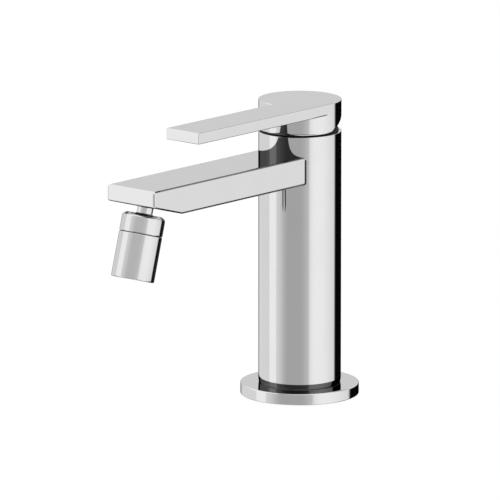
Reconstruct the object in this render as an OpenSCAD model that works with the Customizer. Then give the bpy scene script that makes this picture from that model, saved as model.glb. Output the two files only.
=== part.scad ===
// Single-lever bidet mixer: a round column on a flange, a flat spout with a ball-jointed nozzle,
// and a bar lever over a 35 mm ceramic cartridge.
// Origin: centre of the flange's underside on the deck. +Z is up, and spout and lever point to -Y.

/* [Column] */
// Outer diameter of the column, and of the cap above it
body_d = 45; // [43.5:0.5:50]
// Height of the column's top edge above the deck
body_top = 145.4; // [135:0.2:175]
// Diameter of the hose space in the foot
hose_space_d = 35; // [30:0.5:36.5]
// Height of the hose space above the deck
hose_space_h = 88; // [60:1:94]
// Diameter of the spigot that centres the flange
spigot_d = 39.8; // [38.6:0.2:41]
// Bevel on the visible outer edges
edge = 0.4; // [0.2:0.1:0.6]

/* [Base flange] */
// Outer diameter of the flange
flange_d = 64.5; // [60:0.5:72]
// Thickness of the flange
flange_h = 6.2; // [5:0.1:9]
// Radius of the flange's rounded top edge
flange_round = 0.7; // [0.3:0.1:1.2]
// Width of the rubber gasket under the flange
gasket_w = 5.6; // [4:0.2:7]
// Thickness of that gasket
gasket_h = 2.4; // [1.5:0.1:3]

/* [Supply ports] */
// Bore of each tapped hose port, an M10 x 1 thread at its crests
inlet_d = 9; // [8.6:0.1:9.4]
// Depth of the hose ports
inlet_len = 12; // [9:0.5:14]
// Distance between the two hose ports
inlet_spacing = 14.8; // [13.4:0.2:16]
// Bore of the tapped stud hole, an M8 thread at its crests
stud_d = 6.8; // [6.4:0.1:7]
// Depth of the stud hole
stud_len = 15; // [11:0.5:18]
// Distance of the stud hole behind the column's axis
stud_back = 10.5; // [9:0.25:12]

/* [Cartridge] */
// Outer diameter of the cartridge
cart_d = 35; // [34.5:0.1:35.6]
// Height of the lever's rocking axis below the column's top edge
pivot_drop = 7.1; // [6.2:0.1:8]
// Thickness of the cartridge base
cart_base_h = 5.5; // [5:0.1:7]
// Thickness of the fixed ceramic disc
fixed_disc_h = 3.5; // [3:0.1:4.5]
// Thickness of the moving ceramic disc
moving_disc_h = 3.2; // [2.8:0.1:4]
// Thickness of the disc carrier
carrier_h = 3.8; // [3.4:0.1:5]
// Bore of the inlet ports through base and discs
port_d = 5.2; // [4.4:0.1:5.4]
// Distance between the inlet ports
port_spacing = 13.2; // [12.6:0.1:13.6]
// Distance of the inlet ports in front of the axis
port_front = 4.6; // [4.2:0.1:5]
// Side of the square stem
stem_w = 7; // [6:0.1:7.6]
// Diameter of the cross pin that the stem rocks on
pin_d = 3; // [2.5:0.1:3.4]

/* [Spout] */
// Distance from the column's axis to the spout's tip
spout_reach = 137.8; // [120:0.2:160]
// Width of the spout
spout_w = 33.6; // [28:0.2:36]
// Height of the spout
spout_h = 15.4; // [13.6:0.1:17]
// Height of the face at the spout's tip
spout_tip_h = 8.7; // [7.6:0.1:9.4]
// Length of the cut-away under the tip
spout_bevel_len = 23.5; // [19:0.1:25]
// Height of the spout's top below the column's top edge
spout_drop = 10.8; // [10.4:0.2:13]
// Radius of the rounded top edge at the tip
spout_round = 1.1; // [0.5:0.1:1.6]
// Thickness of the metal over the spout's waterway
spout_roof = 3; // [2.4:0.1:3.6]
// Width of the waterway
channel_w = 22; // [14:0.5:24]
// Height of the waterway
channel_h = 5.8; // [4.6:0.1:6.2]
// Outer diameter of the nipple between body and spout
nipple_d = 11; // [10.4:0.1:11.6]
// Bore of that nipple
nipple_bore = 7; // [5.6:0.1:7.4]
// Length of that nipple
nipple_len = 16; // [13:0.5:20]

/* [Nozzle] */
// Outer diameter of the nozzle
nozzle_d = 23.2; // [22.4:0.1:26]
// Overall length of collar and barrel
nozzle_len = 35.2; // [32:0.1:42]
// Length of the collar, down to the seam
collar_h = 10.6; // [9.6:0.1:11]
// Distance from the cut-away face to the collar
nozzle_gap = 3.7; // [3.6:0.1:7]
// Distance of the nozzle's axis behind the spout's tip, on the cut-away face
nozzle_back = 11.9; // [11.6:0.1:13]
// Diameter of the neck above the ball
neck_d = 8.6; // [7.6:0.1:8.8]
// Diameter of the ball
ball_d = 16; // [15.6:0.1:16.2]
// Depth of the ball's centre below the collar's top
ball_depth = 6.4; // [6.2:0.05:6.8]
// Largest tilt of the nozzle on its ball, each way
tilt_max = 15; // [5:0.5:15.5]
// Height of the collar's conical shoulder
shoulder_h = 1.3; // [0.8:0.1:2]
// Width of that shoulder
shoulder_w = 2.3; // [1:0.1:2.4]
// Height of the aerator cage
aerator_h = 12.2; // [10:0.1:13]

/* [Handle] */
// Gap between the column's top edge and the cap
cap_gap = 1; // [0.9:0.1:3]
// Height of the cap
cap_h = 16.3; // [14.4:0.1:18]
// Distance from the column's axis to the lever's tip
lever_reach = 108.6; // [70:0.2:140]
// Width of the lever, from the cap's side inwards
lever_w = 23; // [14:0.1:30]
// Thickness of the lever
lever_h = 6.15; // [4:0.05:8]
// Largest lift of the lever
lift_max = 22; // [18:0.5:22.5]
// Slope of the relief under the back of the cap
relief_angle = 24.8; // [22.6:0.1:26]
// Thickness of the cap's roof over the hollow
cap_roof = 2.8; // [2:0.1:3.2]
// Height of the trim dome above the column
dome_h = 8.4; // [4:0.1:8.5]
// Diameter of the handle's grub screw
screw_d = 5; // [4:0.1:5.2]
// Length of that grub screw
screw_len = 4; // [3.2:0.1:5]
// Diameter of the button that closes the screw's hole
plug_d = 6.4; // [5.6:0.1:7]

/* [Fits] */
// Radial clearance of pieces that turn in each other
run_fit = 0.05; // [0.02:0.01:0.09]
// Radial clearance of pieces that are pushed or screwed together
push_fit = 0.05; // [0.02:0.01:0.1]
// Gap between flat faces that slide on each other
slide_gap = 0.1; // [0.04:0.01:0.15]

/* [Hidden] */
$fn = 96;
// Extra length of a cutting solid past the face it opens
over = 1;
// Size of a cutting block that clears the whole mixer
clear_all = 300;
// Points on a rounded edge of a profile
round_steps = 6;

body_r = body_d / 2;
spigot_r = spigot_d / 2;
spigot_lift = 0.6;
hose_space_r = hose_space_d / 2;
flange_r = flange_d / 2;
gasket_mid = (spigot_r + flange_r) / 2;
gasket_in = gasket_mid - gasket_w / 2;
gasket_out = gasket_mid + gasket_w / 2;

// Cartridge, stacked down from the rocking axis of the lever
pivot_z = body_top - pivot_drop;
rotor_drop = 7.7;
rotor_bottom = pivot_z - rotor_drop;
carrier_top = rotor_bottom - slide_gap;
carrier_bottom = carrier_top - carrier_h;
moving_bottom = carrier_bottom - moving_disc_h;
fixed_top = moving_bottom - slide_gap / 4;
fixed_bottom = fixed_top - fixed_disc_h;
seat_z = fixed_bottom - cart_base_h;
cart_r = cart_d / 2;
water_gap = 0.9;
drum_r = cart_r - water_gap;
drum_wall = 2.2;
drum_in = drum_r - drum_wall;
chamber_r = cart_r + push_fit;
shoulder_drop = 2.1;
shoulder_top = pivot_z - shoulder_drop;
shoulder_wall = 1.6;
shoulder_bottom = shoulder_top - shoulder_wall;
band_h = 4.8;
band_bottom = shoulder_top - band_h;
band_mid = (band_bottom + shoulder_top) / 2;
neck_in = 12;
neck_out = 13.2;
neck_drop = 3.4;
neck_top = body_top - neck_drop;
rotor_r = neck_in - run_fit;
nut_step = 1.5;
nut_r = cart_r + nut_step;
nut_play = 0.2;
nut_in = neck_out + nut_play;
nut_drop = 2.8;
nut_top = body_top - nut_drop;
port_r = port_d / 2;
port_x = port_spacing / 2;
outlet_r = 3;
outlet_y = 3;
peg_r = 1.9;
peg_len = 2.6;
peg_x = 9.5;
peg_y = 7.5;
seal_w = 1.7;
seal_r = port_r + seal_w;
seal_play = 0.2;
seal_h = 1.8;
ring_r = 0.9;
small_ring_r = 0.6;

// Stem: it leans forward when shut and as far back when fully open
stem_lean = lift_max / 2;
stem_top = 20.6;
drive_r = 2.4;
drive_dip = 1.2;
drive_arm = rotor_drop + slide_gap + drive_dip;
disc_shift = drive_arm * sin(stem_lean);
disc_play = 0.45;
moving_r = drum_in - disc_shift - disc_play;
slot_w = stem_w + 2 * slide_gap;
slot_half = 5;
rail_x = 8.6;
rail_w = 2.4;
rail_h = 1.6;
key_r = 1.4;
key_h = 1.2;

// Spout
spout_top = body_top - spout_drop;
spout_bottom = spout_top - spout_h;
spout_mid = spout_top - spout_h / 2;
bevel_angle = atan((spout_h - spout_tip_h) / spout_bevel_len);
bevel_z = spout_bottom + (spout_bevel_len - nozzle_back) * tan(bevel_angle);
nipple_r = nipple_d / 2;
nipple_inset = 0.3;
nipple_y = -chamber_r - nipple_inset;
nipple_end = nipple_y - nipple_len;
channel_top = spout_top - spout_roof;
channel_end = -(spout_reach - spout_bevel_len);

// Nozzle, measured along its own axis from the cut-away face
nozzle_r = nozzle_d / 2;
neck_r = neck_d / 2;
ball_r = ball_d / 2;
shank_r = 6;
shank_len = 4.6;
shank_hole = 9;
stem_ring_at = -2.2;
stem_bore = 2.6;
collar_bottom = nozzle_gap + collar_h;
nozzle_end = nozzle_gap + nozzle_len;
ball_at = nozzle_gap + ball_depth;
ball_flat = 6;
neck_play = 0.4;
opening_r = ball_depth * tan(tilt_max) + neck_r / cos(tilt_max) + neck_play;
collar_wall = 1.9;
spigot_dip = 0.9;
spigot_top = ball_at + spigot_dip;
spigot_play = 0.3;
screw_in_r = nozzle_r - collar_wall;
seat_wall = 0.5;
seat_out = ball_r + seat_wall;
seat_dip = 0.4;
seat_top = max(spigot_top, ball_at) + seat_dip;
seat_depth = 6.3;
seat_bottom = ball_at + seat_depth;
spring_h = 1.4;
spring_w = 2.3;
spring_in = seat_out - spring_w;
ledge_at = seat_bottom + spring_h;
throat_r = 6;
aerator_wall = 1.3;
mouth_wall = 2.15;
mouth_r = nozzle_r - mouth_wall;
cage_r = mouth_r - push_fit;
cage_in = cage_r - aerator_wall;
cage_recess = 0.6;
cage_bottom = nozzle_end - cage_recess;
cage_top = cage_bottom - aerator_h;
jet_flange_h = 1;
washer_h = 1.6;
mouth_top = cage_top - jet_flange_h - washer_h;
grid_h = 2;
grid_pitch = 2.3;
grid_hole_r = 0.9;
grid_rings = 3;
screen_h = 0.5;
screen_step = 2.2;

// Handle
cap_bottom = body_top + cap_gap;
cap_top = cap_bottom + cap_h;
dome_ledge = 1.36;
dome_wall = 1.2;
dome_r = norm([body_r - dome_ledge, pivot_drop]);
dome_top = body_top + dome_h;
dome_play = 0.5;
hollow_r = dome_r + dome_play;
hollow_top = cap_top - cap_roof;
flush_step = 0.05;
boss_wall = 3.9;
boss_r = stem_w / 2 + boss_wall;
boss_low = 11.6;
socket_play = 0.4;
socket_top = stem_top + socket_play;
screw_drop = 3;
screw_at = stem_top - screw_drop;
screw_r = screw_d / 2;
plug_r = plug_d / 2;
plug_len = 2.6;
plug_sink = 0.7;

// Points of an arc around c, from angle a0 to a1
function arc(c, r, a0, a1) =
    [for (i = [0:round_steps]) let (a = a0 + (a1 - a0) * i / round_steps) c + r * [cos(a), sin(a)]];

// Corners of a rectangle with bevelled corners, for the section of a bar
function bar_section(x0, x1, y0, y1, b) = [
    [x0 + b, y0], [x1 - b, y0], [x1, y0 + b], [x1, y1 - b],
    [x1 - b, y1], [x0 + b, y1], [x0, y1 - b], [x0, y0 + b]
];

module tube(r_out, r_in, low, high) {
    translate([0, 0, low])
        difference() {
            cylinder(r = r_out, h = high - low);
            translate([0, 0, -over]) cylinder(r = r_in, h = high - low + 2 * over);
        }
}

module rod(r, low, high) {
    translate([0, 0, low]) cylinder(r = r, h = high - low);
}

module o_ring(mid, r) {
    rotate_extrude() translate([mid, 0]) circle(r = r, $fn = 32);
}

// Cuts the groove that an O-ring of section radius r lies in, round a shaft
module ring_groove(shaft_r, r) {
    half = r + push_fit;
    tube(shaft_r + over, shaft_r - r - half, -half, half);
}

// Puts children on the nozzle's axis, with +Z leaving the spout
module at_nozzle() {
    translate([0, nozzle_back - spout_reach, bevel_z]) rotate([180 - bevel_angle, 0, 0]) children();
}

// Puts children on the stem's axis, with +Z up the stem from its pin
module at_stem() {
    translate([0, 0, pivot_z]) rotate([stem_lean, 0, 0]) children();
}

// Puts children on the nipple's axis, with +Z pointing away from the column
module at_nipple() {
    translate([0, 0, spout_mid]) rotate([90, 0, 0]) children();
}

module inlet_ports(r, low, high) {
    for (side = [-1, 1])
        translate([side * port_x, -port_front, 0]) rod(r, low, high);
}

// Column
module mixer_body() {
    foot_z = flange_h;
    color("silver")
        difference() {
            union() {
                rotate_extrude()
                    polygon([
                        [0, foot_z], [body_r - edge, foot_z], [body_r, foot_z + edge],
                        [body_r, body_top - edge], [body_r - edge, body_top], [0, body_top]
                    ]);
                rod(spigot_r, spigot_lift, foot_z + over);
            }
            rod(hose_space_r, spigot_lift - over, hose_space_h);
            for (side = [-1, 1])
                translate([side * inlet_spacing / 2, -port_front, 0])
                    rod(inlet_d / 2, hose_space_h - over, hose_space_h + inlet_len);
            inlet_ports(port_r, hose_space_h + inlet_len - over, seat_z + over);
            translate([0, stud_back, 0]) rod(stud_d / 2, hose_space_h - over, hose_space_h + stud_len);
            rod(chamber_r, seat_z, body_top + over);
            rod(nut_r + push_fit, shoulder_top, body_top + over);
            for (side = [-1, 1])
                translate([side * peg_x, peg_y, 0])
                    rod(peg_r + push_fit, seat_z - peg_len - slide_gap, seat_z + over);
            at_nipple() rod(nipple_r + push_fit, 0, body_r + over);
        }
}

// Base flange and its gasket
module base_flange() {
    color("silver")
        rotate_extrude()
            polygon(concat(
                [
                    [spigot_r + push_fit, 0], [gasket_in - push_fit, 0], [gasket_in - push_fit, gasket_h],
                    [gasket_out + push_fit, gasket_h], [gasket_out + push_fit, 0], [flange_r - edge, 0],
                    [flange_r, edge]
                ],
                arc([flange_r - flange_round, flange_h - flange_round], flange_round, 0, 90),
                [[spigot_r + push_fit, flange_h]]
            ));
}

module base_gasket() {
    color("dimgray") tube(gasket_out, gasket_in, 0, gasket_h);
}

// Spout
module spout() {
    outline = concat(
        [[0, spout_bottom], [channel_end, spout_bottom], [-spout_reach, spout_top - spout_tip_h]],
        arc([-spout_reach + spout_round, spout_top - spout_round], spout_round, 180, 90),
        [[0, spout_top]]
    );
    section = bar_section(-spout_w / 2, spout_w / 2, spout_bottom, spout_top, edge);
    color("silver")
        difference() {
            intersection() {
                translate([-spout_w / 2, 0, 0])
                    rotate([90, 0, 90])
                        linear_extrude(spout_w) polygon(outline);
                rotate([90, 0, 0])
                    linear_extrude(spout_reach + over) polygon(section);
            }
            rod(body_r, spout_bottom - over, spout_top + over);
            at_nipple() rod(nipple_r + push_fit, 0, -nipple_end);
            translate([-channel_w / 2, channel_end, channel_top - channel_h])
                cube([channel_w, nipple_end - channel_end + over, channel_h]);
            translate([0, nozzle_back - spout_reach, channel_top - channel_h / 2])
                rotate([-90, 0, 0]) rod(stem_bore, 0, spout_bevel_len);
            at_nozzle() rod(shank_r + run_fit, -shank_hole, over);
        }
}

module spout_nipple() {
    color("goldenrod")
        at_nipple()
            difference() {
                tube(nipple_r, nipple_bore / 2, -nipple_y, -nipple_end);
                translate([0, 0, nipple_groove()]) ring_groove(nipple_r, small_ring_r);
            }
}

module spout_o_ring() {
    color("dimgray")
        at_nipple() translate([0, 0, nipple_groove()]) o_ring(nipple_r - small_ring_r, small_ring_r);
}

// The nipple's seal lies in the spout, half way from the column's side to the nipple's end
function nipple_groove() = (body_r - nipple_end) / 2;

// Cartridge
module cartridge_base() {
    window_roof = 2.4;
    window_h = cart_base_h - window_roof;
    color("ivory")
        difference() {
            union() {
                rod(drum_r, seat_z, fixed_bottom);
                for (side = [-1, 1])
                    translate([side * peg_x, peg_y, 0]) rod(peg_r, seat_z - peg_len, seat_z + over);
            }
            inlet_ports(port_r, seat_z - over, fixed_bottom + over);
            inlet_ports(seal_r + push_fit, seat_z - over, seat_z + seal_h);
            translate([0, outlet_y, 0]) rod(outlet_r, seat_z - over, fixed_bottom + over);
            translate([-outlet_r, outlet_y, seat_z - over])
                cube([2 * outlet_r, drum_r, window_h + over]);
        }
}

module port_seals() {
    color("dimgray")
        for (side = [-1, 1])
            translate([side * port_x, -port_front, 0])
                tube(seal_r, port_r + seal_play, seat_z, seat_z + seal_h);
}

module fixed_disc() {
    color("white")
        difference() {
            rod(drum_in - slide_gap, fixed_bottom, fixed_top);
            inlet_ports(port_r, fixed_bottom - over, fixed_top + over);
            translate([0, outlet_y, 0]) rod(outlet_r, fixed_bottom - over, fixed_top + over);
        }
}

// The mixing pocket under the moving disc joins the ports as the disc slides forward
module moving_disc() {
    pocket_r = 3.9;
    pocket_x = 5.2;
    pocket_back = 1.1;
    pocket_y = disc_shift + pocket_back;
    pocket_roof = 0.6;
    pocket_h = moving_disc_h - key_h - pocket_roof;
    color("white")
        difference() {
            translate([0, disc_shift, 0]) rod(moving_r, moving_bottom, carrier_bottom);
            translate([0, pocket_y, moving_bottom - over]) {
                for (side = [-1, 1])
                    translate([side * pocket_x, 0, 0]) cylinder(r = pocket_r, h = pocket_h + over);
                translate([-pocket_x, -pocket_r, 0])
                    cube([2 * pocket_x, 2 * pocket_r, pocket_h + over]);
            }
            disc_keys(key_r + push_fit, carrier_bottom - key_h - slide_gap, carrier_bottom + over);
        }
}

module disc_keys(r, low, high) {
    for (side = [-1, 1])
        translate([side * rail_x, disc_shift, 0]) rod(r, low, high);
}

module disc_carrier() {
    rail_short = 1;
    rail_len = 2 * sqrt(pow(moving_r, 2) - pow(rail_x + rail_w / 2, 2)) - rail_short;
    color("gainsboro")
        difference() {
            union() {
                translate([0, disc_shift, 0]) rod(moving_r, carrier_bottom, carrier_top);
                disc_keys(key_r, carrier_bottom - key_h, carrier_bottom + over);
                for (side = [-1, 1])
                    translate([side * rail_x - rail_w / 2, disc_shift - rail_len / 2, carrier_top - over])
                        cube([rail_w, rail_len, rail_h + over]);
            }
            translate([0, disc_shift, 0])
                rod(drive_r + 2 * run_fit, carrier_bottom - over, carrier_top + over);
        }
}

module cartridge_rotor() {
    flange_top = shoulder_bottom - slide_gap;
    groove_w = rail_w + 2 * slide_gap;
    color("gainsboro")
        difference() {
            union() {
                rod(drum_in - 2 * slide_gap, rotor_bottom, flange_top);
                rod(rotor_r, rotor_bottom, neck_top + 2 * slide_gap);
            }
            translate([-slot_w / 2, -slot_half, rotor_bottom - over])
                cube([slot_w, 2 * slot_half, neck_top - rotor_bottom + 2 * over]);
            for (side = [-1, 1])
                translate([side * rail_x - groove_w / 2, -drum_r, rotor_bottom - over])
                    cube([groove_w, 2 * drum_r, rail_h + slide_gap + over]);
            translate([0, 0, pivot_z]) rotate([0, 90, 0]) rod(pin_d / 2 + push_fit, -drum_r, drum_r);
        }
}

module stem_pin() {
    pin_inset = 0.5;
    pin_half = rotor_r - pin_inset;
    color("darkgray") translate([0, 0, pivot_z]) rotate([0, 90, 0]) rod(pin_d / 2, -pin_half, pin_half);
}

module lever_stem() {
    eye_wall = 3;
    eye_r = pin_d / 2 + eye_wall;
    arm_r = 1.7;
    color("darkgray")
        at_stem()
            difference() {
                union() {
                    translate([-stem_w / 2, -stem_w / 2, 0]) cube([stem_w, stem_w, stem_top]);
                    rotate([0, 90, 0]) rod(eye_r, -stem_w / 2, stem_w / 2);
                    rod(arm_r, -drive_arm, 0);
                    translate([0, 0, -drive_arm]) sphere(r = drive_r);
                }
                rotate([0, 90, 0]) rod(pin_d / 2 + run_fit, -stem_w, stem_w);
            }
}

module cartridge_housing() {
    color("ivory")
        difference() {
            rotate_extrude()
                polygon([
                    [drum_in, fixed_bottom], [drum_r, fixed_bottom], [drum_r, band_bottom],
                    [cart_r, band_bottom], [cart_r, shoulder_top], [neck_out, shoulder_top],
                    [neck_out, neck_top], [neck_in, neck_top], [neck_in, shoulder_bottom],
                    [drum_in, shoulder_bottom]
                ]);
            translate([0, 0, band_mid]) ring_groove(cart_r, ring_r);
        }
}

module housing_o_ring() {
    color("dimgray") translate([0, 0, band_mid]) o_ring(cart_r - ring_r, ring_r);
}

module cartridge_nut() {
    notch_w = 5;
    notch_h = 2.2;
    notch_wall = 0.8;
    color("goldenrod")
        difference() {
            tube(nut_r, nut_in, shoulder_top, nut_top);
            for (turn = [0:90:270])
                rotate([0, 0, turn + 45])
                    translate([nut_in - over, -notch_w / 2, nut_top - notch_h])
                        cube([nut_r - nut_in - notch_wall + over, notch_w, notch_h + over]);
        }
}

// Trim dome, round the lever's rocking axis so that the cap glides over it
module cover_ring() {
    web_top = body_top + dome_wall;
    rim_w = 1.8;
    rim_in = nut_r - rim_w;
    color("dimgray")
        difference() {
            union() {
                intersection() {
                    translate([0, 0, pivot_z]) sphere(r = dome_r);
                    rod(body_r, body_top, dome_top);
                }
                rod(nut_r, nut_top, web_top);
            }
            intersection() {
                translate([0, 0, pivot_z]) sphere(r = dome_r - dome_wall);
                rod(body_r, web_top, dome_top + over);
            }
            rod(rim_in, nut_top - over, web_top + over);
        }
}

// Handle
module cap_and_lever() {
    lever_in = body_r - lever_w;
    lever_out = body_r - flush_step;
    lever_bottom = cap_top - lever_h;
    rotate_extrude()
        polygon([
            [0, cap_bottom], [body_r - edge, cap_bottom], [body_r, cap_bottom + edge],
            [body_r, cap_top - edge], [body_r - edge, cap_top], [0, cap_top]
        ]);
    intersection() {
        rotate([90, 0, 0])
            linear_extrude(lever_reach)
                polygon(bar_section(lever_in, lever_out, lever_bottom, cap_top, edge));
        translate([lever_in, 0, 0])
            rotate([90, 0, 90])
                linear_extrude(lever_w)
                    polygon(bar_section(-lever_reach, body_r, lever_bottom, cap_top, edge));
    }
}

module handle() {
    color("silver")
        difference() {
            union() {
                difference() {
                    cap_and_lever();
                    intersection() {
                        translate([0, 0, pivot_z]) sphere(r = hollow_r);
                        rod(body_r, cap_bottom - over, hollow_top);
                    }
                    translate([-clear_all / 2, 0, cap_bottom])
                        rotate([relief_angle, 0, 0])
                            translate([0, 0, -clear_all]) cube(clear_all);
                }
                intersection() {
                    at_stem() rod(boss_r, boss_low, clear_all);
                    rod(body_r, cap_bottom, cap_top - over);
                }
            }
            at_stem() {
                socket_w = stem_w + 2 * push_fit;
                translate([-socket_w / 2, -socket_w / 2, 0]) cube([socket_w, socket_w, socket_top]);
                translate([0, 0, screw_at]) rotate([0, -90, 0]) {
                    rod(screw_r + push_fit, 0, body_r);
                    rod(plug_r + push_fit, body_r - plug_sink - plug_len, body_r + over);
                }
            }
        }
}

module handle_screw() {
    key_af = screw_d / 2;
    color("dimgray")
        at_stem()
            translate([0, 0, screw_at])
                rotate([0, -90, 0])
                    difference() {
                        rod(screw_r, stem_w / 2, stem_w / 2 + screw_len);
                        translate([0, 0, stem_w / 2 + screw_len / 2])
                            cylinder(d = key_af / cos(30), h = screw_len, $fn = 6);
                    }
}

module screw_plug() {
    color("silver")
        at_stem()
            translate([0, 0, screw_at])
                rotate([0, -90, 0]) rod(plug_r, body_r - plug_sink - plug_len, body_r - plug_sink);
}

// Nozzle
module ball_stem() {
    color("silver")
        at_nozzle()
            difference() {
                union() {
                    rod(shank_r, -shank_len, 0);
                    rod(neck_r, -over, ball_at);
                    intersection() {
                        translate([0, 0, ball_at]) sphere(r = ball_r);
                        rod(ball_d, 0, ball_at + ball_flat);
                    }
                }
                rod(stem_bore, -shank_len - over, ball_at + ball_d);
                translate([0, 0, stem_ring_at]) ring_groove(shank_r, small_ring_r);
            }
}

module stem_o_ring() {
    color("dimgray")
        at_nozzle()
            translate([0, 0, stem_ring_at]) o_ring(shank_r - small_ring_r, small_ring_r);
}

module ball_seat() {
    color("white")
        at_nozzle()
            difference() {
                rod(seat_out, seat_top, seat_bottom);
                translate([0, 0, ball_at]) sphere(r = ball_r + run_fit);
                rod(ball_r / 2, seat_top - over, seat_bottom + over);
            }
}

module seat_spring() {
    color("dimgray") at_nozzle() tube(seat_out, spring_in, seat_bottom, ledge_at);
}

module nozzle_collar() {
    seam = edge / 2;
    color("silver")
        at_nozzle()
            difference() {
                rotate_extrude()
                    polygon([
                        [0, nozzle_gap], [nozzle_r - shoulder_w, nozzle_gap],
                        [nozzle_r, nozzle_gap + shoulder_h], [nozzle_r, collar_bottom - seam],
                        [nozzle_r - seam, collar_bottom], [0, collar_bottom]
                    ]);
                translate([0, 0, ball_at]) sphere(r = ball_r + run_fit);
                rod(opening_r, 0, ball_at);
                rod(screw_in_r, min(spigot_top, seat_top) - spigot_play, collar_bottom + over);
            }
}

module nozzle_barrel() {
    seam = edge / 2;
    spigot_out = screw_in_r - push_fit;
    color("silver")
        at_nozzle()
            difference() {
                rotate_extrude()
                    polygon([
                        [0, spigot_top], [spigot_out, spigot_top], [spigot_out, collar_bottom],
                        [nozzle_r - seam, collar_bottom], [nozzle_r, collar_bottom + seam],
                        [nozzle_r, nozzle_end - edge], [nozzle_r - edge, nozzle_end], [0, nozzle_end]
                    ]);
                rod(seat_out + push_fit, spigot_top - over, ledge_at);
                rod(throat_r, ledge_at - over, mouth_top + over);
                rod(mouth_r, mouth_top, nozzle_end + over);
            }
}

module aerator_washer() {
    color("dimgray") at_nozzle() tube(cage_r, throat_r, mouth_top, mouth_top + washer_h);
}

module aerator_diffuser() {
    jets = 10;
    jet_r = 0.7;
    cup_h = 2.4;
    cup_step = 1;
    jet_inset = 2.4;
    color("gainsboro")
        at_nozzle()
            difference() {
                union() {
                    rod(cage_r, cage_top - jet_flange_h, cage_top);
                    rod(cage_in - push_fit, cage_top - jet_flange_h, cage_top + cup_h);
                }
                rod(throat_r - cup_step, cage_top - jet_flange_h - over, cage_top + cup_h - jet_flange_h);
                for (i = [0:jets - 1])
                    rotate([0, 0, i * 360 / jets])
                        translate([throat_r - jet_inset, 0, 0])
                            rod(jet_r, cage_top, cage_top + cup_h + over);
            }
}

// Holes of a hexagonal pattern, ring by ring round a middle one
module hex_pattern(pitch, rings, r, low, high) {
    rod(r, low, high);
    for (ring = [1:rings], side = [0:5], step = [0:ring - 1]) {
        corner = ring * pitch * [cos(60 * side), sin(60 * side)];
        along = step * pitch * [cos(60 * side + 120), sin(60 * side + 120)];
        translate(corner + along) rod(r, low, high);
    }
}

module aerator_screens() {
    gauze_pitch = 2.4;
    gauze_hole_r = 0.9;
    color("lightgray")
        at_nozzle()
            for (level = [1, 2]) {
                low = cage_bottom - grid_h - level * screen_step;
                difference() {
                    rod(cage_in - push_fit, low, low + screen_h);
                    hex_pattern(gauze_pitch, 2, gauze_hole_r, low - over, low + screen_h + over);
                }
            }
}

module aerator_cage() {
    grid_top = cage_bottom - grid_h;
    color("whitesmoke")
        at_nozzle()
            difference() {
                rod(cage_r, cage_top, cage_bottom);
                rod(cage_in, cage_top - over, grid_top);
                hex_pattern(grid_pitch, grid_rings, grid_hole_r, grid_top - over, cage_bottom + over);
            }
}

base_flange();
base_gasket();
mixer_body();
spout();
spout_nipple();
spout_o_ring();
cartridge_base();
port_seals();
fixed_disc();
moving_disc();
disc_carrier();
cartridge_rotor();
stem_pin();
lever_stem();
cartridge_housing();
housing_o_ring();
cartridge_nut();
cover_ring();
handle();
handle_screw();
screw_plug();
ball_stem();
stem_o_ring();
ball_seat();
seat_spring();
nozzle_collar();
nozzle_barrel();
aerator_washer();
aerator_diffuser();
aerator_screens();
aerator_cage();
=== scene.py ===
"""A single-lever bidet mixer in polished chrome: a column on a flange, a bar lever, and a bar spout
with a swivelling nozzle."""

import math

import bmesh
import bpy
from mathutils import Matrix, Vector


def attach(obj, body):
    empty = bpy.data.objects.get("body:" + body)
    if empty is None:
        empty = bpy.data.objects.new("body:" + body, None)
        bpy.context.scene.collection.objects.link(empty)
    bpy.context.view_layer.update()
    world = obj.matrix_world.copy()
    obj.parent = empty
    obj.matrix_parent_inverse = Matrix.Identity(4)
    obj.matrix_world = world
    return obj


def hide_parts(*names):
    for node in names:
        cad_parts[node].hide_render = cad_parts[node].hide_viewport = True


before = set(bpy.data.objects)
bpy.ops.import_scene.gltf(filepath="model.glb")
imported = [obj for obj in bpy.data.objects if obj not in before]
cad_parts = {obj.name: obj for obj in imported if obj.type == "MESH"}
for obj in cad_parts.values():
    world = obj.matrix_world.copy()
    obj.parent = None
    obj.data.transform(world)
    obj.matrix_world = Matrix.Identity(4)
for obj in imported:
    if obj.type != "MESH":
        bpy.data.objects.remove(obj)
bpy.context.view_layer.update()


# Camera
# A long lens far from the mixer, a little above the spout and to its right, so that the
# column's sides stay parallel.
MM = 0.001
CAMERA_BEARING = math.radians(40.80)
CAMERA_HEIGHT = math.radians(12.05)
CAMERA_DISTANCE = 4.5
CAMERA_SIGHT = 60
CAMERA_AIM = Vector((-2.0, -38.9, 85.0)) * MM
LENS_MM = 601.6
SENSOR_MM = 36

scene = bpy.context.scene
scene.view_settings.view_transform = "Standard"
camera_data = bpy.data.cameras.new("camera")
camera_data.sensor_width = SENSOR_MM
camera_data.lens = LENS_MM
camera_data.clip_end = CAMERA_SIGHT
camera = bpy.data.objects.new("camera", camera_data)
to_camera = Vector((
    math.sin(CAMERA_BEARING) * math.cos(CAMERA_HEIGHT),
    -math.cos(CAMERA_BEARING) * math.cos(CAMERA_HEIGHT),
    math.sin(CAMERA_HEIGHT),
))
camera.location = CAMERA_AIM + CAMERA_DISTANCE * to_camera
camera.rotation_mode = "QUATERNION"
camera.rotation_quaternion = to_camera.to_track_quat("Z", "Y")
scene.collection.objects.link(camera)
scene.camera = camera


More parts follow.
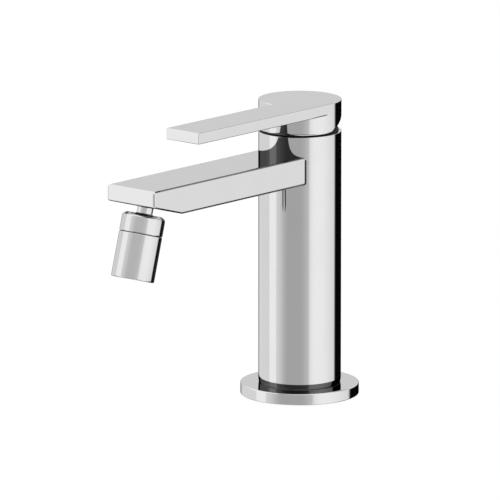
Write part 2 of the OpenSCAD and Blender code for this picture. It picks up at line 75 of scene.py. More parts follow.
# Studio
# A white room with soft grey and black cards round the set, which only the chrome sees, and
# darker ones for chrome seen in chrome. Bearings are in degrees to the right of the front.
GROUND = (-92, -91)
BACK_LEFT = (-181, -180)
BACK_RIGHT = (180, 181)
GREY_CARDS = (
    (0.745, (-72.5, -65.5, 23, 29), (-58, -46, 48, 62)),
    (0.74, (-66, -32, -2, 44), (-58, -46, 48, 62)),
    (0.80, (-66, -32, -2, 44), (-58, -46, -6, 12)),
    (0.80, (55, 122, *BACK_RIGHT), (*GROUND, 48, 62)),
    (0.785, (*BACK_LEFT, -108, -101), (*GROUND, 16, 30)),
    (0.785, (-108, -101, -96, -91), (*GROUND, -8, 0)),
    (0.945, (*BACK_LEFT, -108, -101), (-8, 0, 16, 30)),
    (0.86, (164, 172, *BACK_RIGHT), (1, 4, 22, 34)),
    (0.927, (*BACK_LEFT, -160, -140), (1, 4, 22, 34)),
)
BLACK_CARDS = (
    (0.003, (108, 118, *BACK_RIGHT), (*GROUND, 1, 4)),
    (0.003, (*BACK_LEFT, -177, -173), (*GROUND, 1, 4)),
    (0.03, (98, 106, 128, 142), (24, 40, 50, 64)),
    (0.08, (90, 100, *BACK_RIGHT), (-70, -55, -27, -17)),
    (0.08, (*BACK_LEFT, -125, -105), (-75, -62, -34, -22)),
    (0.45, (-75, -50, 40, 60), (-52, -42, -32, -20)),
    (0.42, (*BACK_LEFT, -162, -146), (*GROUND, 1, 4)),
)
SECOND_CARDS = (
    (0.003, (100, 112, 164, 172), (1, 4, 50, 64)),
    (0.785, (-108, -101, -96, -91), (-8, 0, 16, 30)),
    (0.2, (*BACK_LEFT, -154, -142), (1, 4, 50, 64)),
)
SECOND_LOOK = 0.20
SECOND_FALL = 3.0
SECOND_DEPTH = (1.2, 1.8)
SECOND_DIP = 0.75
DIP_SIDES = (90, 120)
DIP_TOP = (-6, 0)
SECOND_FLOOR = (-41, -36)
FLOOR_SIDES = (55, 85)
FLOOR_GREYS = (0.16, 0.70)
OPEN_LIGHT = (0.663, 0.858)
TO_DEGREES = 180 / math.pi

world = bpy.data.worlds.new("studio")
scene.world = world
world.use_nodes = True
room = world.node_tree
room.nodes.clear()


def node(tree, kind, links=None, **settings):
    """A node with its settings, and its inputs linked to sockets or set to numbers."""
    made = tree.nodes.new(kind)
    for name, value in settings.items():
        setattr(made, name, value)
    for key, value in (links or {}).items():
        if isinstance(value, bpy.types.NodeSocket):
            tree.links.new(value, made.inputs[key])
        else:
            made.inputs[key].default_value = value
    return made


def sum_of(tree, operation, a, b=0.0):
    """One step of arithmetic between two sockets or numbers."""
    return node(tree, "ShaderNodeMath", {0: a, 1: b}, operation=operation).outputs[0]


def step(tree, value, low, high, start=0.0, end=1.0):
    """Goes smoothly from start to end as value goes from low to high."""
    links = {"Value": value, "From Min": low, "From Max": high, "To Min": start, "To Max": end}
    return node(tree, "ShaderNodeMapRange", links, interpolation_type="SMOOTHSTEP").outputs[0]


def either(tree, share, first, second):
    """The first value where share is 0, the second where it is 1."""
    links = {0: share, 2: first, 3: second}
    return node(tree, "ShaderNodeMix", links, data_type="FLOAT").outputs[0]


looking = node(room, "ShaderNodeTexCoord").outputs["Generated"]
turned_round = node(
    room,
    "ShaderNodeVectorRotate",
    {"Vector": looking, "Angle": -CAMERA_BEARING},
    rotation_type="Z_AXIS",
)
right, away, up = node(room, "ShaderNodeSeparateXYZ", {0: turned_round.outputs[0]}).outputs
near = sum_of(room, "MULTIPLY", away, -1.0)
bearing = sum_of(room, "MULTIPLY", sum_of(room, "ARCTAN2", right, near), TO_DEGREES)
height = sum_of(room, "MULTIPLY", sum_of(room, "ARCSINE", up), TO_DEGREES)


def dimmed(light, mask, share):
    """Takes a share of the light away where the mask is 1."""
    kept = sum_of(room, "SUBTRACT", 1.0, sum_of(room, "MULTIPLY", mask, share))
    return sum_of(room, "MULTIPLY", light, kept)


def hang(light, cards):
    """Dims the light to grey on each card. Its sides are the bearings over which the left and the
    right edge fade, and its ends the heights over which the lower and the upper edge do."""
    for grey, sides, ends in cards:
        mask = step(room, bearing, sides[0], sides[1])
        for edge in (
            step(room, bearing, sides[2], sides[3], 1.0, 0.0),
            step(room, height, ends[0], ends[1]),
            step(room, height, ends[2], ends[3], 1.0, 0.0),
        ):
            mask = sum_of(room, "MULTIPLY", mask, edge)
        light = dimmed(light, mask, 1 - grey)
    return light


grey_room = hang(1.0, GREY_CARDS)
room_light = hang(grey_room, BLACK_CARDS)
second_room = hang(grey_room, SECOND_CARDS)

turned_off = sum_of(room, "ABSOLUTE", bearing)
contrast = sum_of(room, "POWER", second_room, SECOND_FALL)
second_grey = sum_of(room, "MULTIPLY", contrast, SECOND_LOOK)
low_front = sum_of(
    room,
    "MULTIPLY",
    step(room, turned_off, *DIP_SIDES, 1.0, 0.0),
    step(room, height, *DIP_TOP, 1.0, 0.0),
)
second_high = dimmed(second_grey, low_front, SECOND_DIP)
second_low = step(room, turned_off, *FLOOR_SIDES, *FLOOR_GREYS)
second_look = either(room, step(room, height, *SECOND_FLOOR), second_low, second_high)

path = node(room, "ShaderNodeLightPath").outputs
chrome_view = either(room, step(room, path["Glossy Depth"], *SECOND_DEPTH), room_light, second_look)
open_light = step(room, up, -1.0, 1.0, *OPEN_LIGHT)
seen = either(room, path["Is Glossy Ray"], open_light, chrome_view)
white_or_seen = either(room, path["Is Camera Ray"], seen, 1.0)
background = node(
    room, "ShaderNodeBackground", {"Color": (1, 1, 1, 1), "Strength": white_or_seen}
)
node(room, "ShaderNodeOutputWorld", {"Surface": background.outputs[0]})


# Key light
# One wide soft box over the set, which shapes the matt pieces and throws the faint shadow.
KEY_POWER = 7.0
KEY_SIZE = 1.6
KEY_PLACE = (-0.5, -0.7, 1.9)

key_data = bpy.data.lights.new("key_light", "AREA")
key_data.shape = "DISK"
key_data.size = KEY_SIZE
key_data.energy = KEY_POWER
key_light = bpy.data.objects.new("key_light", key_data)
key_light.location = KEY_PLACE
key_light.rotation_mode = "QUATERNION"
key_light.rotation_quaternion = key_light.location.to_track_quat("Z", "Y")
key_light.visible_glossy = False
key_light.visible_camera = False
scene.collection.objects.link(key_light)


# Floor
# A white sheet under the set: it takes the mixer's faint shadow, and it is clear from below.
FLOOR_SIZE = 3.0
FLOOR_ROUND = 96
FLOOR_DROP = 0.0003
FLOOR_WHITE = 0.90
FLOOR_PAPER = 0.13

floor_mesh = bpy.data.meshes.new("floor")
sheet = bmesh.new()
bmesh.ops.create_circle(sheet, cap_ends=True, segments=FLOOR_ROUND, radius=FLOOR_SIZE)
sheet.to_mesh(floor_mesh)
sheet.free()
floor = bpy.data.objects.new("floor", floor_mesh)
floor.location.z = -FLOOR_DROP
floor.visible_glossy = False
floor.visible_diffuse = False
floor.visible_transmission = False
floor.visible_shadow = False
scene.collection.objects.link(floor)

floor_finish = bpy.data.materials.new("floor_white")
floor_finish.use_nodes = True
tree = floor_finish.node_tree
tree.nodes.clear()
paper = node(tree, "ShaderNodeBsdfDiffuse", {"Color": (FLOOR_PAPER, FLOOR_PAPER, FLOOR_PAPER, 1)})
glow = node(tree, "ShaderNodeEmission", {"Color": (1, 1, 1, 1), "Strength": FLOOR_WHITE})
white = node(tree, "ShaderNodeAddShader", {0: paper.outputs[0], 1: glow.outputs[0]})
clear = node(tree, "ShaderNodeBsdfTransparent")
from_below = node(tree, "ShaderNodeNewGeometry").outputs["Backfacing"]
one_sided = node(
    tree, "ShaderNodeMixShader", {0: from_below, 1: white.outputs[0], 2: clear.outputs[0]}
)
node(tree, "ShaderNodeOutputMaterial", {"Surface": one_sided.outputs[0]})
floor_mesh.materials.append(floor_finish)


# Base flange
# A turned brass ring under the column, polished and chrome plated. Its top edge is rounded, and
# a groove underneath holds the gasket that seals it to the deck.
FLANGE_R = 32.25
FLANGE_H = 6.2
FLANGE_EDGE = 0.7
DECK_EDGE = 0.4
BORE_EDGE = 0.1
SPIGOT_R = 19.9
FIT = 0.05
GASKET_IN = 23.275
GASKET_OUT = 28.875
GASKET_H = 2.4
GROOVE_EDGE = 0.15
MARK_CONTRAST = (0.28, 0.72)
PATCH_HEIGHT = 0.6
SHARP_EDGE = math.radians(35)
SAME_PLACE = 1e-4
ON_AXIS = 1e-6


def marks_group():
    """Slow and fine unevenness of a surface, as masks from 0 to 1 and a height."""
    group = bpy.data.node_groups.new("surface_marks", "ShaderNodeTree")
    for name, default in (("Patch Size", 6 * MM), ("Grain Size", 0.4 * MM), ("Stretch", 1.0)):
        socket = group.interface.new_socket(name, in_out="INPUT", socket_type="NodeSocketFloat")
        socket.default_value = default
    for name in ("Patches", "Grain", "Height"):
        group.interface.new_socket(name, in_out="OUTPUT", socket_type="NodeSocketFloat")
    inside = node(group, "NodeGroupInput").outputs
    place = node(group, "ShaderNodeTexCoord").outputs["Object"]
    upright = node(group, "ShaderNodeCombineXYZ", {0: 1.0, 1: 1.0, 2: inside["Stretch"]})
    stretched = node(
        group, "ShaderNodeVectorMath", {0: place, 1: upright.outputs[0]}, operation="MULTIPLY"
    )
    made = {}
    for name, size, detail in (("Patches", "Patch Size", 3.0), ("Grain", "Grain Size", 2.0)):
        scale = sum_of(group, "DIVIDE", 1.0, inside[size])
        noise = node(
            group,
            "ShaderNodeTexNoise",
            {"Vector": stretched.outputs[0], "Scale": scale, "Detail": detail},
        )
        made[name] = step(group, noise.outputs[0], *MARK_CONTRAST)
    patches = sum_of(group, "MULTIPLY", made["Patches"], PATCH_HEIGHT)
    both = sum_of(group, "ADD", patches, made["Grain"])
    node(group, "NodeGroupOutput", {0: made["Patches"], 1: made["Grain"], 2: both})
    return group


surface_marks = marks_group()


def finish(name, colour, shade, metallic, roughness, relief, marks, **sockets):
    """A material whose colour runs to shade, its roughness from low to high and its relief, in
    metres, with the marks."""
    material = bpy.data.materials.new(name)
    material.use_nodes = True
    tree = material.node_tree
    tree.nodes.clear()
    surface = node(tree, "ShaderNodeGroup", node_tree=surface_marks)
    for key, value in marks.items():
        surface.inputs[key].default_value = value
    tone = node(
        tree,
        "ShaderNodeMix",
        {0: surface.outputs["Patches"], 6: (*colour, 1), 7: (*shade, 1)},
        data_type="RGBA",
    )
    rough = step(tree, surface.outputs["Grain"], 0.0, 1.0, *roughness)
    bump = node(
        tree,
        "ShaderNodeBump",
        {"Height": surface.outputs["Height"], "Strength": 1.0, "Distance": relief},
    )
    links = {
        "Base Color": tone.outputs[2],
        "Metallic": metallic,
        "Roughness": rough,
        "Normal": bump.outputs[0],
        **sockets,
    }
    shader = node(tree, "ShaderNodeBsdfPrincipled", links)
    node(tree, "ShaderNodeOutputMaterial", {"Surface": shader.outputs[0]})
    return material


chrome = finish(
    "polished_chrome",
    colour=(0.815, 0.815, 0.815),
    shade=(0.80, 0.80, 0.80),
    metallic=1.0,
    roughness=(0.015, 0.035),
    relief=0.1e-6,
    marks={"Patch Size": 14 * MM, "Grain Size": 2.5 * MM},
)


def rounded(corners, steps=4):
    """A closed outline of (x, y, radius) corners, each rounded to its radius."""
    outline = []
    for i, (x, y, radius) in enumerate(corners):
        corner = Vector((x, y))
        if not radius:
            outline.append(corner)
            continue
        before = (Vector(corners[i - 1][:2]) - corner).normalized()
        after = (Vector(corners[(i + 1) % len(corners)][:2]) - corner).normalized()
        half = before.angle(after) / 2
        centre = corner + (before + after).normalized() * radius / math.sin(half)
        start = corner + before * radius / math.tan(half) - centre
        end = corner + after * radius / math.tan(half) - centre
        turn = math.atan2(start.cross(end), start.dot(end))
        for k in range(steps + 1):
            outline.append(centre + Matrix.Rotation(turn * k / steps, 2) @ start)
    return outline


def smooth(made):
    """Smooth shading that stays flat on flats and breaks at sharp edges."""
    made.data.shade_smooth()
    made.data.set_sharp_from_angle(angle=SHARP_EDGE)
    if "flats" not in made.modifiers:
        flats = made.modifiers.new("flats", "WEIGHTED_NORMAL")
        flats.weight = 100
        flats.keep_sharp = True


def piece(name, mesh_maker, material):
    """An object from a bmesh in millimetres, in its material and smoothly shaded."""
    bmesh.ops.remove_doubles(mesh_maker, verts=mesh_maker.verts, dist=SAME_PLACE)
    bmesh.ops.recalc_face_normals(mesh_maker, faces=mesh_maker.faces)
    bmesh.ops.scale(mesh_maker, vec=(MM, MM, MM), verts=mesh_maker.verts)
    mesh = bpy.data.meshes.new(name)
    mesh_maker.to_mesh(mesh)
    mesh_maker.free()
    made = bpy.data.objects.new(name, mesh)
    scene.collection.objects.link(made)
    made.data.materials.append(material)
    smooth(made)
    return made


def turned(profile, place=None, steps=256):
    """A bmesh of a closed (radius, height) profile swept round its axis, which place puts in the
    frame."""
    made = bmesh.new()
    place = place or Matrix()
    rings = []
    for k in range(steps):
        spin = place @ Matrix.Rotation(2 * math.pi * k / steps, 4, "Z")
        rings.append([made.verts.new(spin @ Vector((r, 0, h))) for r, h in profile])
    count = len(profile)
    for k in range(steps):
        here, there = rings[k], rings[(k + 1) % steps]
        for i in range(count):
            j = (i + 1) % count
            starts_on_axis = profile[i][0] < ON_AXIS
            ends_on_axis = profile[j][0] < ON_AXIS
            if starts_on_axis and ends_on_axis:
                continue
            if starts_on_axis:
                made.faces.new((here[i], here[j], there[j]))
            elif ends_on_axis:
                made.faces.new((here[i], here[j], there[i]))
            else:
                made.faces.new((here[i], here[j], there[j], there[i]))
    return made


flange = piece(
    "flange",
    turned(rounded([
        (SPIGOT_R + FIT, 0, BORE_EDGE),
        (GASKET_IN - FIT, 0, GROOVE_EDGE),
        (GASKET_IN - FIT, GASKET_H, 0),
        (GASKET_OUT + FIT, GASKET_H, 0),
        (GASKET_OUT + FIT, 0, GROOVE_EDGE),
        (FLANGE_R, 0, DECK_EDGE),
        (FLANGE_R, FLANGE_H, FLANGE_EDGE),
        (SPIGOT_R + FIT, FLANGE_H, BORE_EDGE),
    ], steps=5)),
    chrome,
)
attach(flange, "body_and_spout")
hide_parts("base_flange")


# Rubber seals
# The deck gasket and the O-rings and port seals of the waterways, moulded in black rubber with a
# dull, slightly dusty skin.
rubber = finish(
    "black_rubber",
    colour=(0.022, 0.022, 0.023),
    shade=(0.045, 0.045, 0.046),
    metallic=0.0,
    roughness=(0.55, 0.78),
    relief=12e-6,
    marks={"Patch Size": 3 * MM, "Grain Size": 0.25 * MM},
)


def dress(names, material):
    """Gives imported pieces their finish."""
    for name in names:
        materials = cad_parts[name].data.materials
        materials.clear()
        materials.append(material)


dress(["base_gasket", "spout_o_ring", "port_seals", "housing_o_ring"], rubber)
dress(["stem_o_ring", "seat_spring", "aerator_washer"], rubber)


# Column
# A turned brass tube, polished and chrome plated outside. The hoses screw into its floor from
# below, and the cartridge stands in the chamber above; a spigot centres the flange on it.
BODY_R = 22.5
BODY_TOP = 145.4
FOOT_EDGE = 0.6
FOOT_TAPER = 0.35
FOOT_TAPER_H = 2.6
FOOT_BLEND = 10
HEAD_EDGE = 0.15
HOSE_SPACE_R = 17.5
HOSE_SPACE_TOP = 88
HOSE_SPACE_EDGE = 0.5
SPIGOT_LIFT = 0.6
SPIGOT_EDGE = 0.3
CHAMBER_R = 17.55
CHAMBER_FLOOR = 114.375
NUT_R = 19.05
NUT_SEAT = 136.2
INLET_X = 7.4
INLET_Y = -4.6
INLET_R = 4.5
INLET_LEN = 12
STUD_Y = 10.5
STUD_R = 3.4
STUD_LEN = 15
PORT_X = 6.6
PORT_R = 2.6
NIPPLE_Z = 126.9
NIPPLE_R = 5.5
PAST_COLUMN = 30
OVERCUT = 1


def rod(place, radius, low, high, segments=64):
    """A bmesh of a round tool along its own Z, from low to high."""
    made = bmesh.new()
    bmesh.ops.create_cone(
        made,
        cap_ends=True,
        segments=segments,
        radius1=radius,
        radius2=radius,
        depth=high - low,
        matrix=place @ Matrix.Translation((0, 0, (low + high) / 2)),
    )
    return made


def machine(made, tools):
    """Takes away or adds each (operation, bmesh) tool, and leaves one clean mesh."""
    for operation, tool in tools:
        blank = piece("tool", tool, chrome)
        blank.modifiers.clear()
        change = made.modifiers.new("machining", "BOOLEAN")
        change.operation = operation
        change.object = blank
        change.solver = "EXACT"
        bpy.context.view_layer.update()
        if "flats" in made.modifiers:
            made.modifiers.remove(made.modifiers["flats"])
        graph = bpy.context.evaluated_depsgraph_get()
        result = bpy.data.meshes.new_from_object(made.evaluated_get(graph))
        made.modifiers.clear()
        old = made.data
        made.data = result
        result.name = made.name
        bpy.data.meshes.remove(old)
        bpy.data.objects.remove(blank)
    smooth(made)


def at(x, y, z):
    """A place in the frame."""
    return Matrix.Translation((x, y, z))


column = piece(
    "column",
    turned(rounded([
        (0, HOSE_SPACE_TOP, 0),
        (HOSE_SPACE_R, HOSE_SPACE_TOP, HOSE_SPACE_EDGE),
        (HOSE_SPACE_R, SPIGOT_LIFT, SPIGOT_EDGE),
        (SPIGOT_R, SPIGOT_LIFT, SPIGOT_EDGE),
        (SPIGOT_R, FLANGE_H, 0),
        (BODY_R - FOOT_TAPER, FLANGE_H, FOOT_EDGE),
        (BODY_R, FLANGE_H + FOOT_TAPER_H, FOOT_BLEND),
        (BODY_R, BODY_TOP, HEAD_EDGE),
        (NUT_R, BODY_TOP, HEAD_EDGE),
        (NUT_R, NUT_SEAT, 0),
        (CHAMBER_R, NUT_SEAT, 0),
        (CHAMBER_R, CHAMBER_FLOOR, 0),
        (0, CHAMBER_FLOOR, 0),
    ], steps=5)),
    chrome,
)
INLET_TOP = HOSE_SPACE_TOP + INLET_LEN
along_spout = Matrix.Rotation(math.pi / 2, 4, "X")
on_nipple = at(0, 0, NIPPLE_Z) @ along_spout
under_floor = HOSE_SPACE_TOP - OVERCUT
column_tools = [
    ("DIFFERENCE", rod(at(0, STUD_Y, 0), STUD_R, under_floor, HOSE_SPACE_TOP + STUD_LEN)),
    ("DIFFERENCE", rod(on_nipple, NIPPLE_R + FIT, 0, PAST_COLUMN)),
]
for side in (-1, 1):
    inlet = at(side * INLET_X, INLET_Y, 0)
    port = at(side * PORT_X, INLET_Y, 0)
    port_tool = rod(port, PORT_R, INLET_TOP - OVERCUT, CHAMBER_FLOOR + OVERCUT, segments=40)
    column_tools.append(("DIFFERENCE", rod(inlet, INLET_R, under_floor, INLET_TOP)))
    column_tools.append(("DIFFERENCE", port_tool))
machine(column, column_tools)
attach(column, "body_and_spout")
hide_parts("mixer_body")


# Spout
# A flat brass bar with crisp, lightly broken edges, cut away under its tip and chrome plated. Its
# end is hollowed to the column's round and held there by the water nipple, against a thin washer
# whose black is painted shade for the crevice along the joint.
SPOUT_HALF = 16.8
SPOUT_TOP = 134.6
SPOUT_BOTTOM = 119.2
SPOUT_TIP = -137.8
TIP_H = 8.7
CUT_LEN = 23.5
CUT_SLOPE = (SPOUT_TOP - TIP_H - SPOUT_BOTTOM) / CUT_LEN
SPOUT_EDGE = 1.45
TIP_ROUND = 1.6
LIP_ROUND_LEAST = 0.05
KNEE_ROUND = 0.5
HEEL_ROUND = 0.35
TOP_SHARE = 1.2
TIP_SHARE = 0.65
CUT_SHARE = 0.62
HEEL_SHARE = 0.05
WASHER = 0.6
WASHER_LIP = 0.35
WASHER_COVER = 0.9
ROUND_STEPS = 6
FLAT_STRIPS = 36
CHANNEL_W = 22.0
CHANNEL_H = 5.8
CHANNEL_Z = 128.7
CHANNEL_FRONT = -114.3
NIPPLE_END = -33.85
NOZZLE_Y = -125.9
SHANK_R = 6.0
SHANK_HOLE = 9.0
STEM_BORE = 2.6


def washer_top(inset):
    """Height of the washer's top, which the bar's upper edge covers but for its rounded sides."""
    return SPOUT_TOP - TOP_SHARE * inset - WASHER_COVER * (1 - inset / SPOUT_EDGE) - FIT


def spout_outline(x, inset):
    """The bar's side outline at x, drawn in by inset, from its heel at the column to the tip and
    back over the washer."""
    touch = -math.sqrt(BODY_R**2 - x * x) - FIT
    heel = touch - WASHER - inset * HEEL_SHARE
    low, high = SPOUT_BOTTOM + inset, SPOUT_TOP - TOP_SHARE * inset
    tip = SPOUT_TIP + TIP_SHARE * inset
    drop = CUT_SHARE * inset * math.sqrt(1 + CUT_SLOPE * CUT_SLOPE)
    lip = SPOUT_TOP - TIP_H + drop - CUT_SLOPE * TIP_SHARE * inset
    knee = SPOUT_TIP + CUT_LEN + (drop - inset) / CUT_SLOPE
    corners = [
        (heel, low, HEEL_ROUND),
        (knee, low, KNEE_ROUND),
        (tip, lip, max(SPOUT_EDGE - inset, LIP_ROUND_LEAST)),
        (tip, high, TIP_ROUND - inset),
        (touch, high, 0),
        (touch, washer_top(inset), 0),
        (heel, washer_top(inset), 0),
    ]
    return rounded(corners, steps=5)


def skin(mesh_maker, rows, closed=False):
    """Faces between each row of vertices and the next; a closed row joins its end to its start."""
    for here, there in zip(rows, rows[1:]):
        for i in range(len(here) if closed else len(here) - 1):
            j = (i + 1) % len(here)
            mesh_maker.faces.new((here[i], here[j], there[j], there[i]))


def bar_of(slices):
    """A bmesh of a bar from its slices, which are closed rows of points from end to end."""
    made = bmesh.new()
    rows = [[made.verts.new(point) for point in points] for points in slices]
    skin(made, rows, closed=True)
    made.faces.new(rows[0])
    made.faces.new(reversed(rows[-1]))
    return made


bevel_turns = [math.pi / 2 * k / ROUND_STEPS for k in range(ROUND_STEPS + 1)]
flat_half = SPOUT_HALF - SPOUT_EDGE
side_rows = [
    (flat_half + SPOUT_EDGE * math.sin(a), SPOUT_EDGE * (1 - math.cos(a))) for a in bevel_turns
]
flat_rows = [(-flat_half + 2 * flat_half * k / FLAT_STRIPS, 0.0) for k in range(1, FLAT_STRIPS)]
spout_rows = [(-x, inset) for x, inset in reversed(side_rows)] + flat_rows + side_rows
spout = piece(
    "spout_bar",
    bar_of([[(x, p.x, p.y) for p in spout_outline(x, inset)] for x, inset in spout_rows]),
    chrome,
)

CUT_ANGLE = math.atan(CUT_SLOPE)
NOZZLE_Z = SPOUT_BOTTOM + (CUT_LEN - (NOZZLE_Y - SPOUT_TIP)) * math.tan(CUT_ANGLE)
on_nozzle = at(0, NOZZLE_Y, NOZZLE_Z) @ Matrix.Rotation(math.pi - CUT_ANGLE, 4, "X")
on_channel = at(0, 0, CHANNEL_Z) @ along_spout


def block(place, size):
    """A bmesh of a square-cornered tool round a place."""
    made = bmesh.new()
    bmesh.ops.create_cube(made, size=1, matrix=place @ Matrix.Diagonal((*size, 1)))
    return made


channel_back = NIPPLE_END + OVERCUT
machine(spout, [
    ("DIFFERENCE", rod(on_nozzle, SHANK_R + FIT, -SHANK_HOLE, 2 * OVERCUT)),
    ("DIFFERENCE", rod(on_nipple, NIPPLE_R + FIT, 0, -NIPPLE_END)),
    (
        "DIFFERENCE",
        block(
            at(0, (CHANNEL_FRONT + channel_back) / 2, CHANNEL_Z),
            (CHANNEL_W, channel_back - CHANNEL_FRONT, CHANNEL_H),
        ),
    ),
    ("DIFFERENCE", rod(on_channel, STEM_BORE, -CHANNEL_FRONT - 2 * OVERCUT, -NOZZLE_Y)),
])
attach(spout, "body_and_spout")
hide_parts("spout")


def washer_slice(x, inset):
    """The washer's four corners at x, against the column and under the bar's upper edge."""
    x *= 1 + WASHER_LIP / SPOUT_HALF
    y = -math.sqrt(BODY_R**2 - x * x)
    low, high = SPOUT_BOTTOM + inset, washer_top(inset) - FIT
    return (x, y, low), (x, y - WASHER, low), (x, y - WASHER, high), (x, y, high)


# The washer's black rubber is painted shade: it draws the dark crevice line where the spout meets
# the column.
spout_washer_shade_line = piece(
    "spout_washer_shade_line", bar_of([washer_slice(x, inset) for x, inset in spout_rows]), rubber
)
machine(spout_washer_shade_line, [("DIFFERENCE", rod(on_nipple, NIPPLE_R + FIT, 0, PAST_COLUMN))])
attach(spout_washer_shade_line, "body_and_spout")


# Spout nipple
# A short turned brass tube, pushed into column and spout, which carries the water across and keeps
# the spout in line. Its O-ring lies in a groove.
brass = finish(
    "turned_brass",
    colour=(0.76, 0.60, 0.32),
    shade=(0.66, 0.50, 0.25),
    metallic=1.0,
    roughness=(0.16, 0.34),
    relief=3e-6,
    marks={"Patch Size": 5 * MM, "Grain Size": 0.5 * MM, "Stretch": 6.0},
)
dress(["spout_nipple", "cartridge_nut"], brass)


# Cartridge
# A 35 mm ceramic cartridge: an acetal shell and base, a turret and carrier that take the lever's
# movement, and two lapped discs. The brass nut above clamps it in the column.
acetal = finish(
    "cartridge_acetal",
    colour=(0.80, 0.775, 0.70),
    shade=(0.74, 0.71, 0.63),
    metallic=0.0,
    roughness=(0.38, 0.52),
    relief=6e-6,
    marks={"Patch Size": 8 * MM, "Grain Size": 0.3 * MM},
)
grey_nylon = finish(
    "turret_nylon",
    colour=(0.52, 0.53, 0.54),
    shade=(0.44, 0.45, 0.46),
    metallic=0.0,
    roughness=(0.42, 0.58),
    relief=6e-6,
    marks={"Patch Size": 7 * MM, "Grain Size": 0.3 * MM},
)
ceramic = finish(
    "lapped_ceramic",
    colour=(0.90, 0.89, 0.86),
    shade=(0.86, 0.85, 0.81),
    metallic=0.0,
    roughness=(0.10, 0.22),
    relief=1e-6,
    marks={"Patch Size": 9 * MM, "Grain Size": 0.2 * MM},
)
steel = finish(
    "turned_steel",
    colour=(0.58, 0.585, 0.59),
    shade=(0.50, 0.505, 0.51),
    metallic=1.0,
    roughness=(0.18, 0.36),
    relief=3e-6,
    marks={"Patch Size": 5 * MM, "Grain Size": 0.3 * MM, "Stretch": 7.0},
)
dress(["cartridge_base", "cartridge_housing"], acetal)
dress(["cartridge_rotor", "disc_carrier"], grey_nylon)
dress(["fixed_disc", "moving_disc"], ceramic)
dress(["stem_pin", "lever_stem"], steel)


# Trim dome
# A turned acetal dome, pushed over the cartridge nut. It is round about the lever's rocking
# axis, so the cap glides over it. Its black is painted shade: it draws the gap between cap and
# column as a dark line, where shade falls.
PIVOT_Z = 138.3
DOME_R = 22.2926
DOME_WALL = 1.2
DOME_TOP = 153.8
DOME_LIP = 0.25
LIP_OUT = 0.4
LIP_IN = 0.2
NUT_TOP = 142.6
DOME_NUT_R = 19.0
RIM_IN = 17.2

# The dome's near-black colour is painted shade for the narrow gap under the cap.
dome_painted_shade = finish(
    "dome_painted_shade",
    colour=(0.008, 0.008, 0.009),
    shade=(0.012, 0.012, 0.013),
    metallic=0.0,
    roughness=(0.42, 0.56),
    relief=4e-6,
    marks={"Patch Size": 6 * MM, "Grain Size": 0.3 * MM},
    **{"Specular IOR Level": 0.15},
)


def ball_run(radius, centre, first, last, steps):
    """(radius, height) points on a ball at a height, from one latitude to another."""
    angles = [first + (last - first) * k / steps for k in range(steps + 1)]
    return [(radius * math.cos(a), centre + radius * math.sin(a)) for a in angles]


def dome_run(radius, low, high, steps):
    """Points on a ball round the lever's rocking axis, from one height to another."""
    first = math.asin((low - PIVOT_Z) / radius)
    last = math.asin((high - PIVOT_Z) / radius)
    return ball_run(radius, PIVOT_Z, first, last, steps)


web_top = BODY_TOP + DOME_WALL
lip_out = dome_run(DOME_R, BODY_TOP, DOME_TOP - DOME_LIP, steps=20)
lip_in = dome_run(DOME_R - DOME_WALL, DOME_TOP - DOME_LIP, web_top, steps=16)
dome = piece(
    "trim_dome",
    turned([
        *lip_out,
        (lip_out[-1][0] - LIP_OUT, DOME_TOP),
        (lip_in[0][0] + LIP_IN, DOME_TOP),
        *lip_in,
        (RIM_IN, web_top),
        (RIM_IN, NUT_TOP),
        (DOME_NUT_R, NUT_TOP),
        (DOME_NUT_R, BODY_TOP),
    ]),
    dome_painted_shade,
)
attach(dome, "body_and_spout")
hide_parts("cover_ring")


# Handle
# Cap and lever are one brass casting, polished and chrome plated. The lever is flush with the cap's
# right side; the cap is hollow over the dome and cut back at the rear, where it dips when lifted.
CAP_BOTTOM = 146.4
CAP_TOP = 162.7
CAP_EDGE = 0.5
CAP_EDGE_H = 1.3
LEVER_BOTTOM = 156.55
LEVER_IN = -0.55
LEVER_OUT = 22.45
LEVER_TIP = -108.6
LEVER_EDGE = 0.44
TIP_CORNER = 0.48
JOIN_SWELL = 2.6
SWELL_RIGHT = -18.0
SWELL_LEFT = -34.0
RELIEF = math.tan(math.radians(24.8))
HOLLOW_R = 22.7926
HOLLOW_TOP = 159.9
HOLLOW_STEPS = 10
STEM_LEAN = math.radians(11)
STEM_W = 7.0
BOSS_R = 7.4
BOSS_LOW = 11.6
BOSS_TOP = 22.2
SOCKET_TOP = 21.0
SCREW_AT = 17.6
SCREW_R = 2.5
PLUG_R = 3.2
PLUG_FLOOR = 19.2
PAST_CAP = 26
UPRIGHT = 0.05
ON_ROUND = 0.01 * MM


def on_round(x, radius):
    """The front point of the cap's round at x."""
    return -math.sqrt(radius * radius - x * x)


def lever_run(inset, radius):
    """The lever's outline in plan, drawn in by inset, from the cap's round at the right to that at
    the left."""
    right_x, left_x = LEVER_OUT - inset, LEVER_IN + inset
    reach = TIP_CORNER - inset
    points = [(right_x, on_round(right_x, radius)), (right_x, SWELL_RIGHT)]
    for corner_x, start in ((LEVER_OUT - TIP_CORNER, 0), (LEVER_IN + TIP_CORNER, -math.pi / 2)):
        for turn in bevel_turns:
            points.append((
                corner_x + reach * math.cos(start - turn),
                LEVER_TIP + TIP_CORNER + reach * math.sin(start - turn),
            ))
    points.append((left_x, SWELL_LEFT))
    points.append((left_x, on_round(left_x, radius)))
    return points


def spread(start, end, count):
    """Even steps from start up to, but not at, end."""
    return [start + (end - start) * k / count for k in range(count)]


right_join = math.atan2(on_round(LEVER_OUT, BODY_R), LEVER_OUT)
left_join = math.atan2(on_round(LEVER_IN, BODY_R), LEVER_IN) + 2 * math.pi
rear_angles = [
    *spread(right_join, 0, count=2),
    *spread(0, math.pi, count=120),
    *spread(math.pi, left_join, count=60),
    left_join,
]

